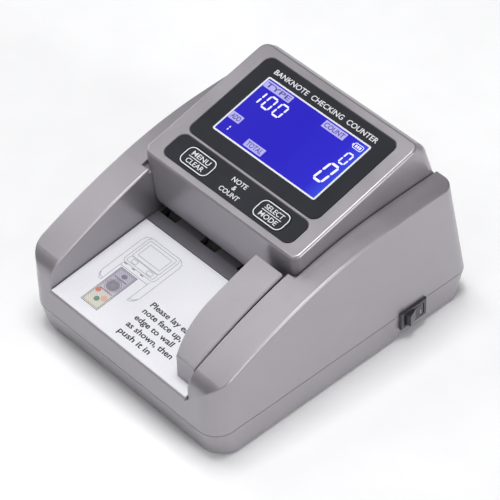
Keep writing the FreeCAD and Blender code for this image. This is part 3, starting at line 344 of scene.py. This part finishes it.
class Print:
    """Thin raised shapes on one plane, gathered into one piece. Coordinates are millimetres on the plane."""

    THICKNESS = 0.04
    SHARPEST_MITRE = 0.4
    WELD = 1e-7

    def __init__(self, plane, lift=0.0):
        self.plane = plane
        self.lift = lift
        self.points = []
        self.faces = []

    def place(self, x, y, level):
        """A point on the foot (level 0) or the top (level 1) of the ink."""
        return self.plane.at(x, y, self.lift + level * self.THICKNESS)

    def polygon(self, outline):
        """A closed flat shape."""
        first, count = len(self.points), len(outline)
        for level in (0, 1):
            self.points += [self.place(x, y, level) for x, y in outline]
        self.faces.append([first + k for k in reversed(range(count))])
        self.faces.append([first + count + k for k in range(count)])
        for k in range(count):
            after = (k + 1) % count
            self.faces.append([first + k, first + after, first + count + after, first + count + k])
        return self

    def ribbon(self, path, width, closed=False):
        """A line of even width along a path, mitred at its corners."""
        count = len(path)
        sides = []
        for k, (x, y) in enumerate(path):
            before = path[k - 1] if closed or k else path[k]
            after = path[(k + 1) % count] if closed or k + 1 < count else path[k]
            normals = []
            for a, b in ((before, (x, y)), ((x, y), after)):
                run = math.hypot(b[0] - a[0], b[1] - a[1])
                if run > 0.0:
                    normals.append(Vector(((a[1] - b[1]) / run, (b[0] - a[0]) / run)))
            normal = sum(normals, Vector((0.0, 0.0))).normalized()
            reach = width / 2 / max(self.SHARPEST_MITRE, normal.dot(normals[0]))
            aside = (normal.x * reach, normal.y * reach)
            sides.append(((x + aside[0], y + aside[1]), (x - aside[0], y - aside[1])))
        first = len(self.points)
        for left, right in sides:
            for side, level in ((left, 0), (right, 0), (right, 1), (left, 1)):
                self.points.append(self.place(*side, level))
        for k in range(count if closed else count - 1):
            a, b = first + 4 * k, first + 4 * ((k + 1) % count)
            for side in range(4):
                turn = (side + 1) % 4
                self.faces.append([a + side, a + turn, b + turn, b + side])
        if not closed:
            last = first + 4 * (count - 1)
            self.faces.append([first + k for k in (3, 2, 1, 0)])
            self.faces.append([last + k for k in (0, 1, 2, 3)])
        return self

    def words(self, text, x, y, height, width, weight, align=0.0):
        """Lettering with its baseline at y. align 0 starts at x, 0.5 centres on it."""
        curve = bpy.data.curves.new("lettering", "FONT")
        curve.body = text
        curve.offset = weight
        curve.extrude = 0.5
        curve.resolution_u = 4
        made = bpy.data.objects.new("lettering", curve)
        SCENE.collection.objects.link(made)
        mesh = bpy.data.meshes.new_from_object(made.evaluated_get(bpy.context.evaluated_depsgraph_get()))
        corners = [v.co.copy() for v in mesh.vertices]
        faces = [list(p.vertices) for p in mesh.polygons]
        bpy.data.objects.remove(made)
        bpy.data.curves.remove(curve)
        bpy.data.meshes.remove(mesh)
        tall = height / CAP_HEIGHT
        left, right = min(c.x for c in corners), max(c.x for c in corners)
        wide = width / (right - left)
        start = x - align * wide * (right - left)
        first = len(self.points)
        self.points += [self.place(start + (c.x - left) * wide, y + c.y * tall, c.z + 0.5) for c in corners]
        self.faces += [[first + k for k in face] for face in faces]
        return self

    def piece(self, name, material, body, slot):
        """The shapes gathered so far, as one object that rides on a body."""
        mesh = bpy.data.meshes.new(name)
        mesh.from_pydata([tuple(p) for p in self.points], [], self.faces)
        shape = bmesh.new()
        shape.from_mesh(mesh)
        bmesh.ops.remove_doubles(shape, verts=shape.verts, dist=self.WELD)
        bmesh.ops.recalc_face_normals(shape, faces=shape.faces)
        shape.to_mesh(mesh)
        shape.free()
        mesh.materials.append(material)
        made = bpy.data.objects.new(name, mesh)
        SCENE.collection.objects.link(made)
        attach(made, body)


def cap_height():
    """The height of a capital in the built-in face, in em."""
    curve = bpy.data.curves.new("lettering", "FONT")
    curve.body = "H"
    made = bpy.data.objects.new("lettering", curve)
    SCENE.collection.objects.link(made)
    bpy.context.view_layer.update()
    tall = made.dimensions.y
    bpy.data.objects.remove(made)
    bpy.data.curves.remove(curve)
    return tall


CAP_HEIGHT = cap_height()


def rounded(x0, y0, x1, y1, radius, steps=6):
    """A rounded rectangle's outline, anticlockwise."""
    path = []
    for cx, cy, start in ((x1 - radius, y0 + radius, -90), (x1 - radius, y1 - radius, 0),
                          (x0 + radius, y1 - radius, 90), (x0 + radius, y0 + radius, 180)):
        for k in range(steps + 1):
            angle = math.radians(start + 90 * k / steps)
            path.append((cx + radius * math.cos(angle), cy + radius * math.sin(angle)))
    return path


def rectangle(x0, y0, x1, y1):
    """A rectangle's corners, anticlockwise."""
    return [(x0, y0), (x1, y0), (x1, y1), (x0, y1)]


def ellipse(cx, cy, rx, ry, steps=36):
    """An ellipse's outline, anticlockwise."""
    return [(cx + rx * math.cos(2 * math.pi * k / steps), cy + ry * math.sin(2 * math.pi * k / steps))
            for k in range(steps)]


# The bars of a seven-segment display that each symbol lights.
SEGMENTS = {"0": "abcdef", "1": "bc"}
SEGMENT_GAP = 0.16


def digit(art, symbol, x, y, width, height, bar, slant):
    """A seven-segment digit: pointed bars with gaps between them."""
    half, gap, mid = bar / 2, SEGMENT_GAP, height / 2
    level = {"a": height - half, "d": half}
    upright = {"f": (half, mid, height), "b": (width - half, mid, height),
               "e": (half, 0.0, mid), "c": (width - half, 0.0, mid)}
    for name in SEGMENTS[symbol]:
        if name in level:
            row, start, end = level[name], half + gap, width - half - gap
            ring = [(start, row), (start + half, row + half), (end - half, row + half), (end, row),
                    (end - half, row - half), (start + half, row - half)]
        else:
            column, low, high = upright[name]
            start = low + (gap if low > 0 else half + gap)
            end = high - (gap if high < height else half + gap)
            ring = [(column, start), (column + half, start + half), (column + half, end - half),
                    (column, end), (column - half, end - half), (column - half, start + half)]
        art.polygon([(x + px + slant * py, y + py) for px, py in ring])


# ---------------------------------------------------------------- the frame's own nodes
for node in NODES.values():
    slot_name = node.material_slots[0].material.name.split(".")[0]
    if slot_name in FINISHES:
        node.material_slots[0].material = FINISHES[slot_name]

SCREEN_BORDER = 3.5 * MM
screen_low, screen_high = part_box("lcd_module")
NODES["lcd_module"].material_slots[0].material = backlit_screen(
    "screen_backlight", screen_low.x + SCREEN_BORDER, screen_high.x - SCREEN_BORDER)

WHITE_INK = ink("ink_white", srgb(226, 226, 232))
DARK_INK = ink("ink_dark", srgb(20, 20, 26))
LINE_INK = ink("ink_line", srgb(138, 138, 146))
PIXEL_INK = ink("screen_light", srgb(210, 206, 246), 0.4, 0.45)
PIXEL_BOX = ink("screen_box", srgb(150, 146, 206), 0.4, 0.4)
PIXEL_DARK = ink("screen_shade", srgb(58, 50, 120), 0.4, 0.1)

# ---------------------------------------------------------------- head: title, keys and screen
# Places on the head are millimetres from its middle and up its slope.
FINE_WEIGHT = 0.008
HEAD_SLOPE = 13.8
KEYPAD_FRONT = 4.3
SCREEN_SINK = 0.25
head = Plane("keypad_overlay", HEAD_SLOPE, KEYPAD_FRONT)
screen = Plane("keypad_overlay", HEAD_SLOPE, KEYPAD_FRONT, SCREEN_SINK)

title = Print(head)
title.words("BANKNOTE  CHECKING  COUNTER", x=-34.0, y=69.1, height=2.75, width=68.0, weight=FINE_WEIGHT)
title.piece("display_title", WHITE_INK, "head", "label_print")

middle = Print(head)
for text, line, width in (("NOTE", 13.5, 9.5), ("&", 9.9, 2.2), ("COUNT", 6.3, 12.5)):
    middle.words(text, x=0.0, y=line, height=2.4, width=width, weight=0.01, align=0.5)
middle.piece("keypad_words", WHITE_INK, "head", "label_print")

KEY_V = 11.25
KEY_HALF_WIDTH = 9.0
KEY_HALF_HEIGHT = 4.9
KEY_RADIUS = 3.1
KEY_OUTLINE = 0.5
KEY_RULE = 0.42
KEY_RULE_HALF = 6.2
KEY_LETTERS = 2.5
KEY_WORDS = (("left_key", -24.9, "MENU", "CLEAR"), ("right_key", 24.6, "SELECT", "MODE"))
for body, centre, upper, lower in KEY_WORDS:
    art = Print(head)
    cap = rounded(centre - KEY_HALF_WIDTH, KEY_V - KEY_HALF_HEIGHT,
                  centre + KEY_HALF_WIDTH, KEY_V + KEY_HALF_HEIGHT, KEY_RADIUS)
    art.ribbon(cap, KEY_OUTLINE, closed=True)
    art.ribbon([(centre - KEY_RULE_HALF, KEY_V), (centre + KEY_RULE_HALF, KEY_V)], KEY_RULE)
    for text, rise, width in ((upper, 0.95, 11.6), (lower, -3.5, 11.2)):
        art.words(text, centre, KEY_V + rise, KEY_LETTERS, width, FINE_WEIGHT, align=0.5)
    art.piece(body + "_print", WHITE_INK, body, "label_print")

border = Print(screen)
border.THICKNESS = 0.2
BORDER_WIDTH = 0.9
border.ribbon(rounded(-33.9, 29.35, 33.7, 66.35, 0.8), BORDER_WIDTH, closed=True)
border.piece("screen_border", WHITE_INK, "head", "label_print")

# Each screen word with its box: left, foot, width and height.
LABELS = (("TYPE", -33.3, 61.0, 17.6, 4.2), ("ADD", -33.3, 38.0, 7.4, 4.3),
          ("TOTAL", -15.5, 31.0, 11.7, 4.3), ("COUNT", 6.0, 61.0, 14.2, 4.2))
BOX_FOOT = 0.85
BOX_SIDE = 0.9
boxes = Print(screen)
box_words = Print(screen, Print.THICKNESS)
for text, x, y, width, height in LABELS:
    boxes.polygon(rounded(x, y, x + width, y + height, 0.25, 2))
    box_words.words(text, x + width / 2, y + BOX_FOOT, height - 2 * BOX_FOOT, width - 2 * BOX_SIDE,
                    weight=0.012, align=0.5)
boxes.piece("screen_boxes", PIXEL_BOX, "head", "label_print")
box_words.piece("screen_box_words", PIXEL_DARK, "head", "lcd_blue")

figures = Print(screen)
TYPE_PITCH = 7.3
for k, symbol in enumerate("100"):
    digit(figures, symbol, x=-32.9 + TYPE_PITCH * k, y=51.4, width=5.2, height=8.3, bar=0.95, slant=0.05)
digit(figures, "0", x=26.7, y=51.0, width=4.2, height=7.6, bar=0.85, slant=0.06)
digit(figures, "0", x=23.6, y=37.5, width=6.2, height=12.2, bar=1.25, slant=0.1)
digit(figures, "1", x=-30.2, y=32.0, width=2.6, height=3.6, bar=0.6, slant=0.05)

# The battery symbol: a case, its nub and three cells.
CELL_PITCH = 1.3
figures.ribbon(rounded(26.2, 61.4, 31.6, 64.3, 0.7, 3), 0.35, closed=True)
figures.polygon(rectangle(25.4, 62.3, 26.0, 63.4))
for k in range(3):
    figures.polygon(rectangle(27.2 + CELL_PITCH * k, 62.1, 28.1 + CELL_PITCH * k, 63.6))
figures.piece("screen_figures", PIXEL_INK, "head", "label_print")

# ---------------------------------------------------------------- tray label: drawing, note and words
# Places on the label are millimetres from its middle and up its slope.
TRAY_SLOPE = 6.3
LABEL_FRONT = -0.6
label = Plane("tray_label", TRAY_SLOPE, LABEL_FRONT)

LINE = 0.22
DRAWN_ARMS = [(-34.6, 19.4), (-36.2, 19.7), (-37.6, 21.2), (-38.5, 23.4), (-38.5, 48.4), (-37.9, 50.6),
              (-36.0, 51.9), (-34.6, 52.3), (-15.7, 52.3), (-14.2, 51.9), (-12.4, 50.6), (-11.8, 48.4),
              (-11.8, 23.4), (-12.7, 21.2), (-14.1, 19.7), (-15.7, 19.4), (-15.7, 33.3)]
DRAWN_INNER_EDGE = [(-34.6, 19.4), (-34.6, 33.3)]
DRAWN_HEAD = [(-15.2, 52.0), (-14.4, 50.2), (-14.4, 35.6), (-15.4, 34.2), (-35.0, 34.2), (-36.0, 35.6),
              (-36.0, 50.2), (-35.2, 52.0)]
DRAWN_LEFT_NOSE = [(-38.2, 23.0), (-36.6, 20.8), (-34.6, 20.8)]
DRAWN_RIGHT_NOSE = [(-12.1, 23.0), (-13.7, 20.8), (-15.7, 20.8)]
DRAWN_MOUTH = [(-34.6, 31.7), (-15.7, 31.7)]
# Rounded boxes: the display panel, its screen, the key panel and its two keys.
DRAWN_BOXES = ((-34.5, 39.0, -16.0, 50.8, 0.9), (-32.6, 41.0, -17.6, 49.0, 0.2),
               (-34.5, 35.4, -16.0, 38.6, 0.5),
               (-32.1, 35.9, -28.7, 38.0, 0.6), (-21.6, 35.9, -18.0, 38.0, 0.6))
NOTCH_WIDTH = 2.2
drawing = Print(label)
for path in (DRAWN_ARMS, DRAWN_INNER_EDGE, DRAWN_HEAD, DRAWN_LEFT_NOSE, DRAWN_RIGHT_NOSE, DRAWN_MOUTH):
    drawing.ribbon(path, LINE)
for outline in DRAWN_BOXES:
    drawing.ribbon(rounded(*outline, steps=3), LINE, closed=True)
for x in (-34.2, -28.6, -22.9):
    drawing.polygon(rectangle(x, 33.3, x + NOTCH_WIDTH, 33.9))
drawing.piece("label_drawing", LINE_INK, "base", "panel_black")


NOTE = (-33.0, 5.5, -21.3, 31.0)


def note_paper(name):
    """A plain practice note: a pale tint that cools towards its far end, under fine engraved lines."""
    made = Finish(name)
    axes = made.node("ShaderNodeSeparateXYZ")
    made.link(made.place, axes.inputs["Vector"])
    low, high = label.at(0.0, NOTE[1]).y, label.at(0.0, NOTE[3]).y
    along = made.spread(axes.outputs["Y"], 0.0, 1.0, low, high)
    tint = made.ramp(along, (0.0, srgb(222, 221, 200)), (0.34, srgb(222, 214, 208)),
                     (0.55, srgb(196, 192, 203)), (1.0, srgb(186, 183, 197)))
    engraving = made.waves(0.7, "DIAGONAL", 3.0)
    lines = made.ramp(engraving, (0.35, (0.82, 0.82, 0.86, 1.0)), (0.6, WHITE))
    made.colour(made.mix(1.0, tint, lines, "MULTIPLY"))
    made.roughness(made.spread(made.noise(0.6, 3.0), 0.4, 0.55))
    return made.material


Print(label).polygon(rectangle(*NOTE)).piece("note_sheet", note_paper("note_tint"), "base", "label_print")
rim = Print(label, Print.THICKNESS)
rim.THICKNESS = 0.08
rim.ribbon(rectangle(-32.7, 5.8, -21.6, 30.7), 0.22, closed=True)
rim.ribbon(rectangle(-32.0, 6.5, -22.3, 30.0), 0.12, closed=True)
RING_STEP = 0.8
for k in range(4):
    rim.ribbon(ellipse(-27.1, 20.6, 4.1 - RING_STEP * k, 3.9 - RING_STEP * k), 0.18, closed=True)
rim.ribbon([(-31.2, 25.2), (-23.0, 25.2)], 0.5)
rim.ribbon([(-31.2, 16.2), (-23.0, 16.2)], 0.4)
rim.piece("note_engraving", ink("ink_slate", srgb(112, 106, 132)), "base", "panel_black")

# Each patch of colour, with its tint, its middle and its two radii.
PATCHES = {
    "patch_top": ((128, 122, 142), (-27.0, 27.6, 1.6, 1.3)),
    "patch_middle": ((146, 143, 152), (-27.1, 20.4, 3.4, 3.0)),
    "patch_left": ((206, 128, 112), (-30.6, 14.6, 1.5, 1.3)),
    "patch_right": ((216, 178, 160), (-24.2, 12.6, 1.9, 1.6)),
    "patch_low": ((104, 146, 126), (-27.0, 10.4, 1.5, 1.4)),
}
for name, (tint, spot) in PATCHES.items():
    patch = Print(label, Print.THICKNESS).polygon(ellipse(*spot))
    patch.piece("note_" + name, ink("ink_" + name, srgb(*tint)), "base", "label_print")

WORDS_LEFT = -5.2
guidance = Print(label)
# Each line of the guidance, with its baseline and its width.
GUIDANCE = (("Please lay each", 24.0, 30.0), ("note face up,", 19.1, 26.4), ("edge to wall", 14.1, 25.6),
            ("as shown, then", 9.0, 30.6), ("push it in", 4.0, 21.0))
for text, line, width in GUIDANCE:
    guidance.words(text, WORDS_LEFT, line, height=3.0, width=width, weight=0.02)
guidance.piece("label_words", DARK_INK, "base", "panel_black")

# ---------------------------------------------------------------- power rocker mark
MARK_HALF_WIDTH = 0.22
MARK_HALF_HEIGHT = 1.1
MARK_PROUD = 0.06
rocker = NODES["switch_rocker"].data
crest = max((p for p in rocker.polygons if p.normal.x > 0.5), key=lambda p: p.center.y)
mark = bpy.data.meshes.new("rocker_mark")
outward = crest.normal.normalized()
upward = Vector((0.0, 0.0, 1.0))
sideways = upward.cross(outward)
corners = []
for rise in (0.0, MARK_PROUD):
    corners += [crest.center + (sideways * a + upward * b + outward * rise) * MM
                for a, b in rectangle(-MARK_HALF_WIDTH, -MARK_HALF_HEIGHT, MARK_HALF_WIDTH, MARK_HALF_HEIGHT)]
mark.from_pydata([tuple(c) for c in corners], [],
                 [(3, 2, 1, 0), (4, 5, 6, 7), (0, 1, 5, 4), (1, 2, 6, 5), (2, 3, 7, 6), (3, 0, 4, 7)])
mark.materials.append(ink("ink_mark", srgb(186, 186, 190)))
mark_piece = bpy.data.objects.new("rocker_mark", mark)
SCENE.collection.objects.link(mark_piece)
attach(mark_piece, "power_rocker")

# ---------------------------------------------------------------- floor, light and camera
floor_mesh = bpy.data.meshes.new("floor")
SPAN = 6.0
floor_mesh.from_pydata([(x, y, 0.0) for x, y in rectangle(-SPAN, -SPAN, SPAN, SPAN)], [], [(0, 1, 2, 3)])
floor = bpy.data.objects.new("floor", floor_mesh)
SCENE.collection.objects.link(floor)
pale = Finish("floor_pale")
pale.colour(pale.ramp(pale.noise(40.0, 2.0), (0.3, srgb(246, 246, 247)), (0.7, srgb(250, 250, 251))))
pale.shader.inputs["Roughness"].default_value = 0.9
floor_mesh.materials.append(pale.material)

world = bpy.data.worlds.new("studio")
world.use_nodes = True
SCENE.world = world
sky = world.node_tree.nodes["Background"]
sky.inputs["Color"].default_value = (0.96, 0.97, 1.0, 1.0)
sky.inputs["Strength"].default_value = 0.06

CENTRE = (CAD_BOX[0] + CAD_BOX[1]) / 2
LIGHT_DISTANCE = 1.35
LIGHT_WIDTH = 0.6
LIGHT_HEIGHT = 0.5


def softbox(name, direction, power):
    """A rectangular soft light in a direction from the object, facing it."""
    light = bpy.data.lights.new(name, "AREA")
    light.shape = "RECTANGLE"
    light.size = LIGHT_WIDTH
    light.size_y = LIGHT_HEIGHT
    light.energy = power
    made = bpy.data.objects.new(name, light)
    toward = Vector(direction).normalized()
    made.location = CENTRE + toward * LIGHT_DISTANCE
    made.rotation_euler = toward.to_track_quat("Z", "Y").to_euler()
    SCENE.collection.objects.link(made)


softbox("overhead", (0.0, 0.0, 1.0), 12.4)
softbox("right_low", (0.95, 0.1, 0.25), 8.8)
softbox("left_low", (-0.9, 0.0, 0.45), 3.8)
softbox("front_high", (0.0, -0.6, 0.8), 2.5)
softbox("right_front", (0.7, -0.3, 0.65), 0.7)
softbox("left_rear", (-0.54, 0.3, 0.79), 0.4)
softbox("front_low", (0.1, -0.95, 0.25), 0.5)
softbox("top_glint", (-0.54, -0.18, 0.82), 1.5)

VIEWPOINT = Vector((0.73745, -0.64555, 0.99961))
# The camera's own right, up and back directions.
VIEW_AXES = Matrix(((0.6765, 0.7361, -0.0254), (-0.5035, 0.4873, 0.7135), (0.5375, -0.4699, 0.7002)))
camera = bpy.data.cameras.new("camera")
camera.sensor_width = 36.0
camera.lens = 212.1
viewpoint = bpy.data.objects.new("camera", camera)
viewpoint.matrix_world = Matrix.Translation(VIEWPOINT) @ VIEW_AXES.transposed().to_4x4()
SCENE.collection.objects.link(viewpoint)
SCENE.camera = viewpoint
SCENE.view_settings.view_transform = "Standard"
